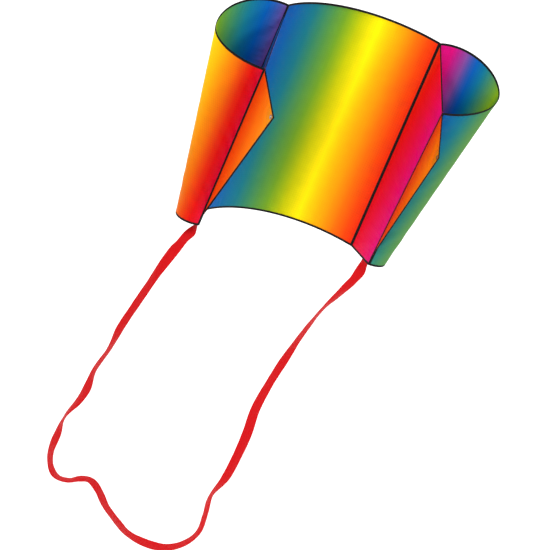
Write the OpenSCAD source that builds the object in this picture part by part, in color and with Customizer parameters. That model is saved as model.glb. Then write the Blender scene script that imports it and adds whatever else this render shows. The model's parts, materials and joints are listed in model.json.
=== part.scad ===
// Frameless sled kite: an arched sail between two ram-air tubes, a keel on each tube,
// and a loop of ribbon for a tail. Millimetres.
// +Z runs from the trailing edge to the leading edge, +X across the span, and +Y from the
// front, where the keels stand, to the back. The origin is the tow point, midway between
// the eyelets in the two keels.

/* [Sail] */
// Length of the sail from leading edge to trailing edge
chord = 500; // [420:10:600]
// Radius of the sail's arch
arch_r = 257; // [230:1:320]
// Half of the angle that the arch covers, in degrees
arch_half = 42; // [34:1:46]
// Thickness of the cloth
cloth_t = 0.6; // [0.5:0.1:1]
// Width of the binding tape on every free edge
binding_w = 5; // [3:0.5:8]
// Thickness of the binding tape, folded round the cloth
binding_t = 1.2; // [1:0.1:2]
// Radius of the piped main seams, where the sail joins the tubes
seam_r = 2; // [1.5:0.1:2.5]

/* [Tubes] */
// Depth of a tube's inner wall at the mouth, from main seam to keel seam
wall_mouth = 91; // [80:1:110]
// Depth of the inner wall at the trailing end
wall_end = 70; // [55:1:78]
// How far the inner wall leans outwards from the front-to-back line, in degrees
wall_lean = 18; // [10:1:26]
// How far the mouth is cut back at the keel seam
mouth_rake = 112; // [60:1:140]
// How far the tube's nose stands out from the main seam at the mouth
nose_out = 148; // [120:1:170]
// How far the nose lies in front of the main seam at the mouth
nose_front = 46; // [40:1:52]
// How far the tube's nose stands out at the trailing end
end_out = 66; // [58:1:78]
// How far the nose lies in front of the main seam at the trailing end
end_front = 36; // [30:1:40]
// Radius of the piped keel seams
keel_seam_r = 1.6; // [1.2:0.1:1.8]

/* [Keels] */
// Distance of each eyelet from the middle of the kite
eyelet_out = 186; // [176:1:196]
// How far the eyelets lie in front of the main seams
eyelet_front = 180; // [160:1:200]
// Height of the eyelets above the trailing edge
eyelet_up = 330; // [300:1:350]
// How far the keel's tip reaches past its eyelet
tip_past = 12.5; // [11:0.5:16]
// How far the tip lies nearer to the leading edge than its eyelet
tip_up = 6; // [4:0.5:8]
// Height above the trailing edge at which the keel runs out
keel_foot = 20; // [10:1:60]
// Radius of the reinforcing patch round each eyelet
patch_r = 30; // [20:1:40]
// Radius of the eyelet's hole
eyelet_r = 2.5; // [2:0.1:3]

/* [Tail] */
// Width of the ribbon
ribbon_w = 22; // [15:1:30]
// Thickness of the ribbon
ribbon_t = 1; // [0.8:0.1:2]
// Distance of each tail tab from the main seam, along the inner wall
tab_in = 56; // [48:1:60]

/* [Hidden] */
$fn = 96;

LEFT = -1;
RIGHT = 1;

// Clearances: between pieces that turn on each other, between pieces sewn together, and
// from the keel seam's line to the keel, which leaves it room to swing
turning_gap = 0.35;
sewn_gap = 0.1;
keel_gap = 3;

// The main seam, the wall's direction from it, and the keel seam's two ends, on the right side
seam_x = arch_r * sin(arch_half);
wall_dir = [sin(wall_lean), -cos(wall_lean), 0];
wall_normal = [-cos(wall_lean), -sin(wall_lean), 0];
keel_top = [seam_x, 0, chord - mouth_rake] + wall_mouth * wall_dir;
keel_bottom = [seam_x, 0, 0] + wall_end * wall_dir;
rake_slope = mouth_rake / -keel_top.y;

// Outline of the tube's skin, seen along the main seam and measured from it: two Bezier
// curves that meet at the nose, [outwards, backwards]
mouth_outline = [
    [0, 0], [68, 8], [nose_out - 5, -17], [nose_out, -nose_front],
    [nose_out + 4, -nose_front - 19], [96, -83], wall_mouth * [wall_dir.x, wall_dir.y]
];
end_outline = [
    [0, 0], [24, 4], [end_out - 4, -4], [end_out, -end_front],
    [end_out + 3, -end_front - 21], [48, -74], wall_end * [wall_dir.x, wall_dir.y]
];
skin_steps = 28;
skin_runs = 4;

// The keel's plane: down the keel seam, out to the eyelet, and square to both
eyelet = [eyelet_out, -eyelet_front, eyelet_up];
keel_down = unit(keel_bottom - keel_top);
keel_len = norm(keel_bottom - keel_top);
eyelet_down = (eyelet - keel_top) * keel_down;
eyelet_vec = eyelet - keel_top - eyelet_down * keel_down;
eyelet_off = norm(eyelet_vec);
keel_off = unit(eyelet_vec);
keel_normal = cross(keel_down, keel_off);
keel_tip = [eyelet_down - tip_up, eyelet_off + tip_past];
keel_foot_s = keel_len - keel_foot;
keel_binding_w = 4;
patch_t = 0.5;
flange_r = 5;
flange_t = 0.6;
barrel_r = 3.1;

// The ribbon's route from its left end to its right end, as it hangs below the kite with
// its loop blown to one side: [x, y, z, turn of the ribbon about its own length]
tail_route = [
    [-210, 120, -375, 0], [-220, 120, -405, 30], [-235, 115, -450, 60], [-245, 115, -500, 70],
    [-255, 115, -550, 70], [-265, 115, -605, 70], [-270, 115, -660, 90], [-280, 120, -715, 90],
    [-280, 120, -760, 60], [-285, 125, -800, 80], [-300, 125, -840, 100], [-300, 125, -885, 70],
    [-300, 125, -925, 70], [-290, 125, -960, 60], [-270, 120, -985, 40], [-240, 120, -990, 30],
    [-215, 120, -980, 20], [-190, 120, -980, 30], [-165, 115, -1000, 40], [-140, 115, -1030, 40],
    [-105, 115, -1060, 40], [-65, 120, -1090, 30], [-15, 120, -1105, 10], [30, 120, -1105, 10],
    [65, 120, -1085, 20], [85, 120, -1050, 30], [85, 125, -1005, 40], [80, 125, -960, 40],
    [95, 125, -910, 10], [100, 125, -850, 0], [100, 125, -790, -10], [95, 125, -730, 0],
    [100, 125, -665, 10], [110, 125, -600, 10], [120, 120, -535, 30], [140, 120, -465, 40],
    [165, 120, -410, 20], [180, 120, -375, 0]
];
rings_per_point = 2;

// The tabs are a little narrower than the ribbon, are sewn up inside the tubes, and hang down
// to just above the ribbon's ends
tab_w = ribbon_w - 2;
tab_t = 0.8;
tab_sewn = 22;
tab_bends = 9;
tab_gap = 1;

// Where a tab ends, just above its end of the ribbon, as seen from its own side
function tab_bottom(side) =
    let (end = side == LEFT ? tail_route[0] : tail_route[len(tail_route) - 1])
    [side * end.x, end.y - eyelet_front, end.z + eyelet_up + tab_gap];

function unit(v) = v / norm(v);
function lerp(a, b, t) = a + t * (b - a);

// A point on a cubic Bezier curve
function bezier(p, t) =
    pow(1 - t, 3) * p[0] + 3 * t * pow(1 - t, 2) * p[1]
    + 3 * t * t * (1 - t) * p[2] + pow(t, 3) * p[3];

// A point on a tube's outline, from the main seam (u = 0) past the nose to the keel seam (u = 1)
function outline_at(o, u) =
    u < 0.5 ? bezier([o[0], o[1], o[2], o[3]], 2 * u) : bezier([o[3], o[4], o[5], o[6]], 2 * u - 1);

// The same, with the ends kept clear of the two piped seams
function trimmed_at(o, u) =
    let (
        first = (seam_r + turning_gap) / (6 * norm(o[1] - o[0])),
        last = 1 - (keel_seam_r + sewn_gap) / (6 * norm(o[6] - o[5]))
    )
    outline_at(o, lerp(first, last, u));

// A point on the tube's skin: v = 0 at the raked mouth, v = 1 at the trailing end
function skin_at(u, v) =
    let (
        m = trimmed_at(mouth_outline, u),
        e = trimmed_at(end_outline, u),
        mouth_point = [seam_x + m.x, m.y, chord + rake_slope * m.y],
        end_point = [seam_x + e.x, e.y, 0]
    )
    lerp(mouth_point, end_point, v);

function skin_normal(u, v) =
    let (
        h = 0.001,
        along = skin_at(min(u + h, 1), v) - skin_at(max(u - h, 0), v),
        down = skin_at(u, 1) - skin_at(u, 0)
    )
    unit(cross(along, down));

// A point on the smooth curve through a list of points, as a Catmull-Rom spline
function spline_at(p, i, t) =
    let (
        a = p[max(i - 1, 0)],
        b = p[i],
        c = p[i + 1],
        d = p[min(i + 2, len(p) - 1)]
    )
    0.5 * (2 * b + (c - a) * t + (2 * a - 5 * b + 4 * c - d) * t * t
        + (3 * b - a - 3 * c + d) * t * t * t);

// The route with more points between its own
function smooth_route(p, n) = [
    for (i = [0:len(p) - 2], k = [0:n - 1]) spline_at(p, i, k / n),
    p[len(p) - 1]
];

// The eight corners of a flat strip's section: width along w, thickness along h
function strip_ring(centre, w, h, width, thick) = [
    for (c = [[2, 1], [1, 2], [-1, 2], [-2, 1], [-2, -1], [-1, -2], [1, -2], [2, -1]])
        centre + c[0] / 4 * width * w + c[1] / 4 * thick * h
];

// A flat strip through n such sections. The two sides are cut into triangles the same way,
// so that a twisted strip keeps its thickness.
function strip_faces(n) = [
    for (i = [0:n - 2], k = [0:7])
        let (a = i * 8 + k, b = i * 8 + (k + 1) % 8, c = b + 8, d = a + 8)
        each k < 4 ? [[a, d, b], [d, c, b]] : [[a, d, c], [a, c, b]],
    [for (k = [0:7]) k],
    [for (k = [7:-1:0]) (n - 1) * 8 + k]
];

module strip(rings) {
    polyhedron([for (r = rings) each r], strip_faces(len(rings)));
}

// Moves a piece from the frame of the main seams to the kite's own frame
module in_place() {
    translate([0, eyelet_front, -eyelet_up]) children();
}

// Pieces are drawn for the right side and mirrored for the left
module on_side(side) {
    if (side == RIGHT) children();
    else mirror([1, 0, 0]) children();
}

// The plane of the right inner wall: x from the main seam, y up, z into the open front
module wall_plane() {
    multmatrix([
        [wall_dir.x, 0, wall_normal.x, seam_x],
        [wall_dir.y, 0, wall_normal.y, 0],
        [0, 1, 0, 0],
        [0, 0, 0, 1]
    ]) children();
}

// The plane of the right keel: x down the keel seam, y out to the eyelet
module keel_plane() {
    multmatrix([
        [keel_down.x, keel_off.x, keel_normal.x, keel_top.x],
        [keel_down.y, keel_off.y, keel_normal.y, keel_top.y],
        [keel_down.z, keel_off.z, keel_normal.z, keel_top.z],
        [0, 0, 0, 1]
    ]) children();
}

// A plate of the given thickness, centred on its plane
module plate(points, thick) {
    linear_extrude(height = thick, center = true) polygon(points);
}

// A strip of the arched sail between two heights
module arch_strip(z0, z1, thick) {
    half = arch_half - (seam_r + sewn_gap) / arch_r * 180 / PI;
    reach = 2 * arch_r;
    translate([0, -arch_r * cos(arch_half), z0])
        linear_extrude(height = z1 - z0)
            intersection() {
                difference() {
                    circle(r = arch_r + thick / 2);
                    circle(r = arch_r - thick / 2);
                }
                polygon([
                    [0, 0], [reach * sin(half), reach * cos(half)],
                    [-reach * sin(half), reach * cos(half)]
                ]);
            }
}

// Points of the tube's skin between two places along its length, moved out along its normals
function skin_points(v0, v1, runs, offset) = [
    for (i = [0:skin_steps], j = [0:runs])
        let (u = i / skin_steps, v = lerp(v0, v1, j / runs))
        skin_at(u, v) + offset * skin_normal(u, v)
];

// The same piece of skin as a thin closed shell
module skin_shell(v0, v1, runs, thick) {
    m = runs + 1;
    count = (skin_steps + 1) * m;
    rim = concat(
        [for (i = [0:skin_steps]) i * m],
        [for (j = [1:runs]) skin_steps * m + j],
        [for (i = [skin_steps - 1:-1:0]) i * m + runs],
        [for (j = [runs - 1:-1:1]) j]
    );
    faces = [
        for (i = [0:skin_steps - 1], j = [0:runs - 1])
            let (a = i * m + j, b = a + m, c = b + 1, d = a + 1)
            each [
                [a, c, b], [a, d, c],
                [count + a, count + b, count + c], [count + a, count + c, count + d]
            ],
        for (k = [0:len(rim) - 1])
            let (a = rim[k], b = rim[(k + 1) % len(rim)])
            each [[a, b, count + b], [a, count + b, count + a]]
    ];
    polyhedron(
        concat(skin_points(v0, v1, runs, thick / 2), skin_points(v0, v1, runs, -thick / 2)), faces
    );
}

// How far the keel seam lies from the main seam, along the wall, at a height, and the
// corner where an edge parallel to the raked mouth and lower by drop meets the keel seam
wall_slope = (wall_mouth - wall_end) / (chord - mouth_rake);
wall_rake = mouth_rake / wall_mouth;
wall_first = seam_r + turning_gap;
wall_trim = wall_end - keel_seam_r - sewn_gap;
wall_band = binding_w * sqrt(1 + wall_rake * wall_rake);
function wall_last(z) = wall_trim + wall_slope * z;
function wall_corner(drop) =
    let (z = (chord - drop - wall_rake * wall_trim) / (1 + wall_rake * wall_slope))
    [wall_last(z), z];
function wall_edge(drop) = [wall_first, chord - drop - wall_rake * wall_first];

// Share of the skin's length that a binding takes
skin_band = binding_w / (chord - mouth_rake / 4);

module sail() {
    color("gold") in_place() arch_strip(binding_w, chord - binding_w, cloth_t);
}

module leading_edge_binding() {
    color("black") in_place() arch_strip(chord - binding_w, chord, binding_t);
}

module trailing_edge_binding() {
    color("black") in_place() arch_strip(0, binding_w, binding_t);
}

module main_seam(side) {
    color("black") in_place() on_side(side) translate([seam_x, 0, 0]) cylinder(h = chord, r = seam_r);
}

module tube_skin(side) {
    color(side == LEFT ? "orange" : "seagreen")
        in_place() on_side(side) skin_shell(skin_band, 1 - skin_band, skin_runs, cloth_t);
}

module inner_wall(side) {
    color(side == LEFT ? "mediumpurple" : "crimson")
        in_place() on_side(side) wall_plane()
            plate(
                [
                    wall_edge(wall_band), wall_corner(wall_band),
                    [wall_last(binding_w), binding_w], [wall_first, binding_w]
                ],
                cloth_t
            );
}

module mouth_binding(side) {
    color("black") in_place() on_side(side) {
        skin_shell(0, skin_band, 1, binding_t);
        wall_plane()
            plate([wall_edge(0), wall_corner(0), wall_corner(wall_band), wall_edge(wall_band)], binding_t);
    }
}

module tube_end_binding(side) {
    color("black") in_place() on_side(side) {
        skin_shell(1 - skin_band, 1, 1, binding_t);
        wall_plane()
            plate(
                [
                    [wall_first, 0], [wall_last(0), 0],
                    [wall_last(binding_w), binding_w], [wall_first, binding_w]
                ],
                binding_t
            );
    }
}

module keel_seam(side) {
    color("black") in_place() on_side(side) keel_plane()
        rotate([0, 90, 0]) cylinder(h = keel_len, r = keel_seam_r);
}

// The keel's two free edges, each moved in by a distance and met at the tip, and where
// they start and end on the line beside the keel seam
keel_upper = unit(keel_tip);
keel_lower = unit([keel_foot_s, 0] - keel_tip);
function keel_top_at(inset) = [
    (keel_gap * keel_upper.x + inset) / keel_upper.y, keel_gap
];
function keel_tip_at(inset) =
    keel_tip + inset / cross(keel_upper, keel_lower) * (keel_upper - keel_lower);
function keel_foot_at(inset) = [
    keel_foot_s + (keel_gap * keel_lower.x + inset) / keel_lower.y, keel_gap
];

module keel_eyelet_hole(r, h) {
    translate([eyelet_down, eyelet_off, 0]) cylinder(h = h, r = r, center = true);
}

module keel(side) {
    color("darkorange") in_place() on_side(side) keel_plane()
        difference() {
            plate(
                [keel_top_at(keel_binding_w), keel_tip_at(keel_binding_w), keel_foot_at(keel_binding_w)],
                cloth_t
            );
            keel_eyelet_hole(barrel_r + sewn_gap, 3 * cloth_t);
        }
}

module keel_binding(side) {
    color("black") in_place() on_side(side) keel_plane()
        plate(
            [
                keel_top_at(0), keel_tip_at(0), keel_foot_at(0), keel_foot_at(keel_binding_w),
                keel_tip_at(keel_binding_w), keel_top_at(keel_binding_w)
            ],
            binding_t
        );
}

module keel_patch(side) {
    inset = keel_binding_w + sewn_gap;
    color("orangered") in_place() on_side(side) keel_plane()
        for (face = [-1, 1])
            translate([0, 0, face * (cloth_t + patch_t) / 2])
                linear_extrude(height = patch_t, center = true)
                    difference() {
                        intersection() {
                            polygon([keel_top_at(inset), keel_tip_at(inset), keel_foot_at(inset)]);
                            translate(keel_tip_at(keel_binding_w)) circle(r = patch_r);
                        }
                        translate([eyelet_down, eyelet_off]) circle(r = barrel_r + sewn_gap);
                    }
}

module keel_eyelet(side) {
    stack = cloth_t / 2 + patch_t;
    color("silver") in_place() on_side(side) keel_plane()
        translate([eyelet_down, eyelet_off, 0])
            rotate_extrude()
                polygon([
                    [eyelet_r, -stack - flange_t], [flange_r, -stack - flange_t], [flange_r, -stack],
                    [barrel_r, -stack], [barrel_r, stack], [flange_r, stack],
                    [flange_r, stack + flange_t], [eyelet_r, stack + flange_t]
                ]);
}

// The tab is sewn inside the tube, flat on the wall, and turns square to the span below it. The
// left tab turns the longer way round.
module tail_tab(side) {
    inside = binding_t / 2 + tab_t / 2 + sewn_gap;
    on_wall = [seam_x, 0, 0] + tab_in * wall_dir - inside * wall_normal;
    sewn = [on_wall + [0, 0, tab_sewn], on_wall];
    bottom = tab_bottom(side);
    hanging = [
        for (i = [1:tab_bends])
            let (
                t = i / tab_bends,
                ease = t * t * (3 - 2 * t),
                turn = lerp(wall_lean - 90, side == LEFT ? -180 : 0, ease),
                p = [lerp(on_wall.x, bottom.x, ease), lerp(on_wall.y, bottom.y, ease), bottom.z * t]
            )
            strip_ring(p, [cos(turn), sin(turn), 0], [sin(turn), -cos(turn), 0], tab_w, tab_t)
    ];
    color("red") in_place() on_side(side)
        strip(concat([for (p = sewn) strip_ring(p, wall_dir, wall_normal, tab_w, tab_t)], hanging));
}

module tail_ribbon() {
    path = smooth_route(tail_route, rings_per_point);
    last = len(path) - 1;
    rings = [
        for (i = [0:last])
            let (
                here = path[i],
                a = path[max(i - 1, 0)],
                b = path[min(i + 1, last)],
                ahead = unit([b.x - a.x, b.y - a.y, b.z - a.z]),
                across = unit(cross([0, 1, 0], ahead)),
                deep = cross(ahead, across),
                hung = i == 0 || i == last,
                w = hung ? [i == 0 ? -1 : 1, 0, 0] : cos(here[3]) * across + sin(here[3]) * deep,
                h = hung ? [0, 1, 0] : cross(ahead, w)
            )
            strip_ring([here.x, here.y, here.z], w, h, ribbon_w, ribbon_t)
    ];
    color("red") strip(rings);
}

sail();
leading_edge_binding();
trailing_edge_binding();
main_seam(LEFT);  // left_main_seam
main_seam(RIGHT);  // right_main_seam
tube_skin(LEFT);  // left_tube_skin
inner_wall(LEFT);  // left_inner_wall
mouth_binding(LEFT);  // left_mouth_binding
tube_end_binding(LEFT);  // left_tube_end_binding
keel_seam(LEFT);  // left_keel_seam
tail_tab(LEFT);  // left_tail_tab
keel(LEFT);  // left_keel
keel_binding(LEFT);  // left_keel_binding
keel_patch(LEFT);  // left_keel_patch
keel_eyelet(LEFT);  // left_eyelet
tube_skin(RIGHT);  // right_tube_skin
inner_wall(RIGHT);  // right_inner_wall
mouth_binding(RIGHT);  // right_mouth_binding
tube_end_binding(RIGHT);  // right_tube_end_binding
keel_seam(RIGHT);  // right_keel_seam
tail_tab(RIGHT);  // right_tail_tab
keel(RIGHT);  // right_keel
keel_binding(RIGHT);  // right_keel_binding
keel_patch(RIGHT);  // right_keel_patch
keel_eyelet(RIGHT);  // right_eyelet
tail_ribbon();
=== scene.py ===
import json
import math

import bpy
import numpy as np
from mathutils import Matrix, Vector, geometry


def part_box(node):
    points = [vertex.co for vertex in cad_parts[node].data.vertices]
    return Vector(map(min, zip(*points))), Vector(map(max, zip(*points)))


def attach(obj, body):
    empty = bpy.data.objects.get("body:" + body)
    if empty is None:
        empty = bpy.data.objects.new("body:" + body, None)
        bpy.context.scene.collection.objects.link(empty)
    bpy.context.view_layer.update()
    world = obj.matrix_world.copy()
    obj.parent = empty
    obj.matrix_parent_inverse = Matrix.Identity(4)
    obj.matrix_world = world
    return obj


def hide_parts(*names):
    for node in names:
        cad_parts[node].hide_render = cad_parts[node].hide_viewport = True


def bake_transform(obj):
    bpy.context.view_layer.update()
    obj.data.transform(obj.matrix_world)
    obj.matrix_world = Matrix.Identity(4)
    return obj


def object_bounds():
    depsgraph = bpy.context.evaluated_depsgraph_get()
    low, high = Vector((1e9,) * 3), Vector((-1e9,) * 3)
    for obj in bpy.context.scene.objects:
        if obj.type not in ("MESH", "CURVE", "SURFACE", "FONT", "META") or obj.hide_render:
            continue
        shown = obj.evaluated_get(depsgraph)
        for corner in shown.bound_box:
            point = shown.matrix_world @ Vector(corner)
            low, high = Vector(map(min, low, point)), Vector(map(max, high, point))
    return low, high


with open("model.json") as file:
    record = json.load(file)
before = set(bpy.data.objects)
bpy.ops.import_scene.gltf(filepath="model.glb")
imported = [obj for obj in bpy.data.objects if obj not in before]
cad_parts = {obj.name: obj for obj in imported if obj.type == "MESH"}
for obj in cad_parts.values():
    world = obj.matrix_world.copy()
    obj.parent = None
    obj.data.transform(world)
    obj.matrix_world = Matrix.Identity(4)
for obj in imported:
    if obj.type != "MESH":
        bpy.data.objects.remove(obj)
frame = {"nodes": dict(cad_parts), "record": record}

# A frameless sled kite: an arched sail between two ram-air tubes, a keel on each tube, and a
# loop of ribbon for a tail. Everything is in metres, in the frame of the CAD model.
# Pieces that come in pairs are built for the right side, and mirrored for the left.

cad_low, cad_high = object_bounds()
MM = 0.001
LEFT, RIGHT = -1, 1
SIDES = {"left": LEFT, "right": RIGHT}


# ---------------------------------------------------------------- sizes, from the frame

def ends_of(node):
    """The middles of the upper and the lower end of a straight rod."""
    points = np.array([v.co for v in frame["nodes"][node].data.vertices], float)
    middle = (points[:, 2].min() + points[:, 2].max()) / 2
    halves = points[points[:, 2] > middle], points[points[:, 2] <= middle]
    return [(half.min(0) + half.max(0)) / 2 for half in halves]


def unit(v):
    v = np.asarray(v, float)
    return v / np.linalg.norm(v, axis=-1, keepdims=True)


def smoothstep(x):
    x = np.clip(x, 0, 1)
    return x * x * (3 - 2 * x)


MAIN_TOP, MAIN_BOTTOM = ends_of("right_main_seam")
KEEL_TOP, KEEL_BOTTOM = ends_of("right_keel_seam")
MAIN_R = (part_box("right_main_seam")[1].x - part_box("right_main_seam")[0].x) / 2
KEEL_R = 0.8 * MAIN_R
SEAM_X, SEAM_Y = MAIN_TOP[0], MAIN_TOP[1]
LEADING, TRAILING = MAIN_TOP[2], MAIN_BOTTOM[2]
CHORD = LEADING - TRAILING
RAKE = (LEADING - KEEL_TOP[2]) / (SEAM_Y - KEEL_TOP[1])
CAD_CLOTH = 0.6 * MM

ARCH_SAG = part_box("sail")[1].y - CAD_CLOTH / 2 - SEAM_Y
ARCH_R = (SEAM_X ** 2 + ARCH_SAG ** 2) / (2 * ARCH_SAG)
ARCH_HALF = math.asin(SEAM_X / ARCH_R)
SAIL_WIDTH = 2 * ARCH_HALF * ARCH_R

MOUNTS = {m["name"]: m for m in frame["record"]["mounts"]}
EYELET = np.array(MOUNTS["right_keel_eyelet"]["pos_m"], float)
KEEL_DOWN = unit(KEEL_BOTTOM - KEEL_TOP)
KEEL_LENGTH = float(np.linalg.norm(KEEL_BOTTOM - KEEL_TOP))
EYELET_DOWN = float((EYELET - KEEL_TOP) @ KEEL_DOWN)
EYELET_OUT = float(np.linalg.norm(EYELET - KEEL_TOP - EYELET_DOWN * KEEL_DOWN))
KEEL_OUT = unit(EYELET - KEEL_TOP - EYELET_DOWN * KEEL_DOWN)
KEEL_NORMAL = np.cross(KEEL_DOWN, KEEL_OUT)

# The keel's outline in its own plane, [down the seam, out from it]: its eyelet, its tip a
# little past that, and its foot. Then which way is inwards from its upper and lower edges, and
# from its tip.
KEEL_EYELET = np.array([EYELET_DOWN, EYELET_OUT])
KEEL_TIP = KEEL_EYELET + np.array([-6, 12.5]) * MM
KEEL_FOOT = np.array([KEEL_LENGTH - 20 * MM, 0.0])
KEEL_EDGES = unit(KEEL_TIP), unit(KEEL_FOOT - KEEL_TIP)
KEEL_INWARD = [np.array([d[1], -d[0]]) for d in KEEL_EDGES]
KEEL_CORNER = sum(KEEL_INWARD) / (1 + float(KEEL_INWARD[0] @ KEEL_INWARD[1]))

# Thicknesses and widths of the cloth, the tapes and the ribbon. TUCK is how far a cloth stops
# short of the outside of the tape that is folded over its edge, KEEL_GAP how far the keel's tape
# stays off the keel seam, and UNDER_PIPING how far a seam's flange reaches under its piping.
# TAB_IN is how far along the wall a tail tab is sewn, and TAB_SEWN how far up inside the tube.
CLOTH = 0.4 * MM
TAPE_WIDTH = 5 * MM
KEEL_TAPE_WIDTH = 4.6 * MM
KEEL_GAP = 3 * MM
FLANGE_WIDTH = 3 * MM
KEEL_FLANGE_WIDTH = FLANGE_WIDTH - 0.5 * MM
UNDER_PIPING = 0.4 * MM
TAPE_HALF = 0.6 * MM
TUCK = 0.8 * MM
TAPE_SKIN = 0.3 * MM
PATCH_R = 30 * MM
PATCH_LIFT = 0.55 * MM
RIBBON_WIDTH = 22 * MM
RIBBON_THICK = 0.45 * MM
TAB_IN = 56 * MM
TAB_SEWN = 22 * MM

# Outline of the tube's skin, seen along the main seam and measured from it, [outwards,
# backwards]: two Bezier curves that meet at the nose, as in the CAD source
WALL_DIR = unit((KEEL_TOP - MAIN_TOP)[:2])
WALL_NORMAL = np.array([WALL_DIR[1], -WALL_DIR[0], 0])
WALL_MOUTH = float(np.linalg.norm((KEEL_TOP - MAIN_TOP)[:2]))
WALL_END = float(np.linalg.norm((KEEL_BOTTOM - MAIN_BOTTOM)[:2]))
MOUTH_OUTLINE = np.array([
    (0, 0), (68, 8), (143, -17), (148, -46), (152, -65), (96, -83),
    tuple(WALL_DIR * WALL_MOUTH / MM),
]) * MM
END_OUTLINE = np.array([
    (0, 0), (24, 4), (62, -4), (66, -36), (69, -57), (48, -74),
    tuple(WALL_DIR * WALL_END / MM),
]) * MM

# The ribbon's route, in millimetres: x, y, z and the ribbon's turn about its own length in
# degrees, from its left end to its right end, as in the CAD source. It hangs in a loop that the
# wind blows aside. RIBBON_END_FLAT is how far it takes to turn from each tab into its route.
TAIL_ROUTE = [
    (-210, 120, -375, 0), (-220, 120, -405, 30), (-235, 115, -450, 60), (-245, 115, -500, 70),
    (-255, 115, -550, 70), (-265, 115, -605, 70), (-270, 115, -660, 90), (-280, 120, -715, 90),
    (-280, 120, -760, 60), (-285, 125, -800, 80), (-300, 125, -840, 100), (-300, 125, -885, 70),
    (-300, 125, -925, 70), (-290, 125, -960, 60), (-270, 120, -985, 40), (-240, 120, -990, 30),
    (-215, 120, -980, 20), (-190, 120, -980, 30), (-165, 115, -1000, 40), (-140, 115, -1030, 40),
    (-105, 115, -1060, 40), (-65, 120, -1090, 30), (-15, 120, -1105, 10), (30, 120, -1105, 10),
    (65, 120, -1085, 20), (85, 120, -1050, 30), (85, 125, -1005, 40), (80, 125, -960, 40),
    (95, 125, -910, 10), (100, 125, -850, 0), (100, 125, -790, -10), (95, 125, -730, 0),
    (100, 125, -665, 10), (110, 125, -600, 10), (120, 120, -535, 30), (140, 120, -465, 40),
    (165, 120, -410, 20), (180, 120, -375, 0),
]
RIBBON_END_FLAT = 35 * MM
TAIL_ENDS = {"left": TAIL_ROUTE[0], "right": TAIL_ROUTE[-1]}
TAIL_NEXT = {"left": TAIL_ROUTE[1], "right": TAIL_ROUTE[-2]}


# ---------------------------------------------------------------- meshes

class Piece:
    """Collects surfaces into one mesh. Each vertex carries its place on its cloth: across and
    along in metres, and where it lies in the print, from 0 to 1."""

    def __init__(self, side=RIGHT):
        self.side = side
        self.points, self.cloth, self.faces, self.slots = [], [], [], []
        self.count = 0

    def add(self, points, faces, cloth, slot=0):
        points = np.asarray(points, float).reshape(-1, 3) * (self.side, 1, 1)
        order = 1 if self.side == RIGHT else -1
        self.points.append(points)
        self.cloth.append(np.asarray(cloth, float).reshape(-1, 3))
        self.faces += [tuple(self.count + i for i in face[::order]) for face in faces]
        self.slots += [slot] * len(faces)
        self.count += len(points)

    def make(self, name, *materials, crease=50):
        mesh = bpy.data.meshes.new(name)
        mesh.from_pydata(np.vstack(self.points).tolist(), [], self.faces)
        for material in materials:
            mesh.materials.append(material)
        mesh.polygons.foreach_set("material_index", self.slots)
        place = mesh.attributes.new("cloth", "FLOAT_VECTOR", "POINT")
        place.data.foreach_set("vector", np.vstack(self.cloth).astype(np.float32).ravel())
        mesh.shade_smooth()
        mesh.set_sharp_from_angle(angle=math.radians(crease))
        mesh.validate()
        obj = bpy.data.objects.new(name, mesh)
        bpy.context.scene.collection.objects.link(obj)
        return obj


def shell(points, faces, normals, thickness):
    """The points and faces of a thin closed sheet round a middle surface."""
    n = len(points)
    both = np.vstack([points + normals * thickness / 2, points - normals * thickness / 2])
    under = [tuple(n + i for i in reversed(face)) for face in faces]
    edges = {(a, b) for face in faces for a, b in zip(face, face[1:] + face[:1])}
    rim = [(b, a, a + n, b + n) for a, b in sorted(edges) if (b, a) not in edges]
    return both, list(faces) + under + rim


def grid_faces(rows, columns):
    return [
        (i * columns + j, (i + 1) * columns + j, (i + 1) * columns + j + 1, i * columns + j + 1)
        for i in range(rows - 1) for j in range(columns - 1)
    ]


def grid_normals(grid):
    return unit(np.cross(np.gradient(grid, axis=0), np.gradient(grid, axis=1)))


def grid_sheet(piece, grid, cloth, relief, thickness=CLOTH):
    """Adds a sheet given as a grid of points, with relief added along its normals."""
    grid = grid + grid_normals(grid) * np.asarray(relief)[..., None]
    normals = grid_normals(grid)
    rows, columns = grid.shape[:2]
    points, faces = shell(
        grid.reshape(-1, 3), grid_faces(rows, columns), normals.reshape(-1, 3), thickness
    )
    piece.add(points, faces, np.tile(cloth.reshape(-1, 3), (2, 1)))


def sweep(piece, rings, cloth, slot=0):
    """Adds a closed solid through rings of points, with flat ends."""
    rows, columns = rings.shape[:2]
    faces = [
        (i * columns + j, (i + 1) * columns + j,
         (i + 1) * columns + (j + 1) % columns, i * columns + (j + 1) % columns)
        for i in range(rows - 1) for j in range(columns)
    ]
    faces.append(tuple(range(columns)))
    faces.append(tuple((rows - 1) * columns + j for j in reversed(range(columns))))
    piece.add(rings, faces, cloth, slot)


def along(points):
    """The distance of each point from the first, along the line."""
    steps = np.linalg.norm(np.diff(points, axis=0), axis=-1)
    return np.concatenate([[0], np.cumsum(steps)])


def resample(lines, step):
    """Lines of values along the first one, which are points, at places about step apart."""
    s = along(lines[0])
    at = np.linspace(0, s[-1], max(2, round(s[-1] / step) + 1))
    return [
        np.stack([np.interp(at, s, line[:, k]) for k in range(line.shape[1])], axis=1)
        for line in lines
    ]


# The slots of a sewn piece's materials, and its stitches: their pitch, how thick the thread is,
# sections along one stitch as (place, height, thickness), the last two in threads, and how far
# apart rows of them are
TAPE_SLOT, THREAD_SLOT = 0, 1
PITCH = 3.4 * MM
THREAD = 0.36 * MM
STITCH = [
    (-0.33, -0.4, 0.6), (-0.25, 0.2, 0.95), (0, 0.45, 1), (0.25, 0.2, 0.95), (0.33, -0.4, 0.6),
]
STITCH_ROW = 2.2 * MM


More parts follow.
